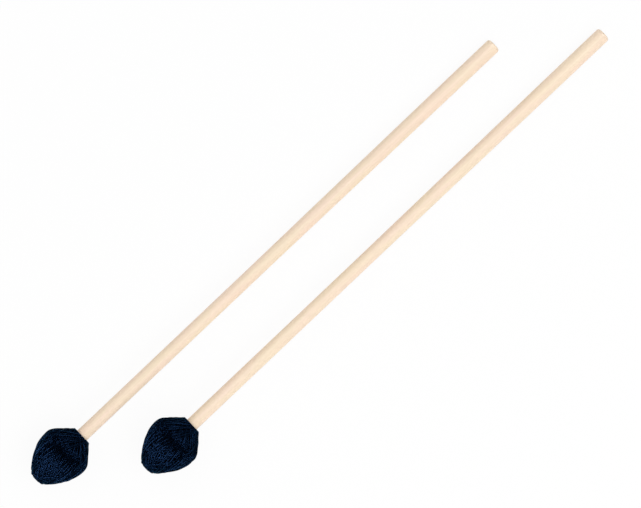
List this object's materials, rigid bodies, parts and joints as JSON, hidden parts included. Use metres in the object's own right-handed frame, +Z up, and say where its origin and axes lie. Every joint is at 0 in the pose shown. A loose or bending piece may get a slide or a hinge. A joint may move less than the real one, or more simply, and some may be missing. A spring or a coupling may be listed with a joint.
{
  "type": "vibraphone mallet",
  "caption": "Matched keyboard percussion mallets lying side by side: slim wooden shafts swelling to the grip, pear-shaped heads wound criss-cross with dark blue cord.",
  "frame": {"origin": "bottom centre of the box round both mallets, on the surface that they lie on", "axes": "+X along the shafts from the heads to the butts, +Y to the side of the first mallet, +Z up"},
  "size_m": [0.4517, 0.0766, 0.0342],
  "materials": {
    "birch": "smooth sanded pale birch with a thin satin lacquer",
    "core_rubber": "moulded dark rubber",
    "sleeve_rubber": "thin tan latex",
    "inner_cord": "dark navy cord, tightly laid",
    "outer_cord": "dark navy twisted cord with a faint sheen",
    "thread": "dark navy waxed thread"
  },
  "bodies": {
    "mallet_1": {"shaft_1": "birch", "core_1": "core_rubber", "core_sleeve_1": "sleeve_rubber", "under_winding_1": "inner_cord", "outer_winding_1": "outer_cord", "front_stitching_1": "thread", "neck_whipping_1": "thread"},
    "mallet_2": {"shaft_2": "birch", "core_2": "core_rubber", "core_sleeve_2": "sleeve_rubber", "under_winding_2": "inner_cord", "outer_winding_2": "outer_cord", "front_stitching_2": "thread", "neck_whipping_2": "thread"}
  },
  "joints": [
    {"name": "second_mallet_lift", "type": "slide", "parent": "mallet_1", "child": "mallet_2", "axis": [0, 0, 1], "range_m": [0, 0.1]}
  ]
}
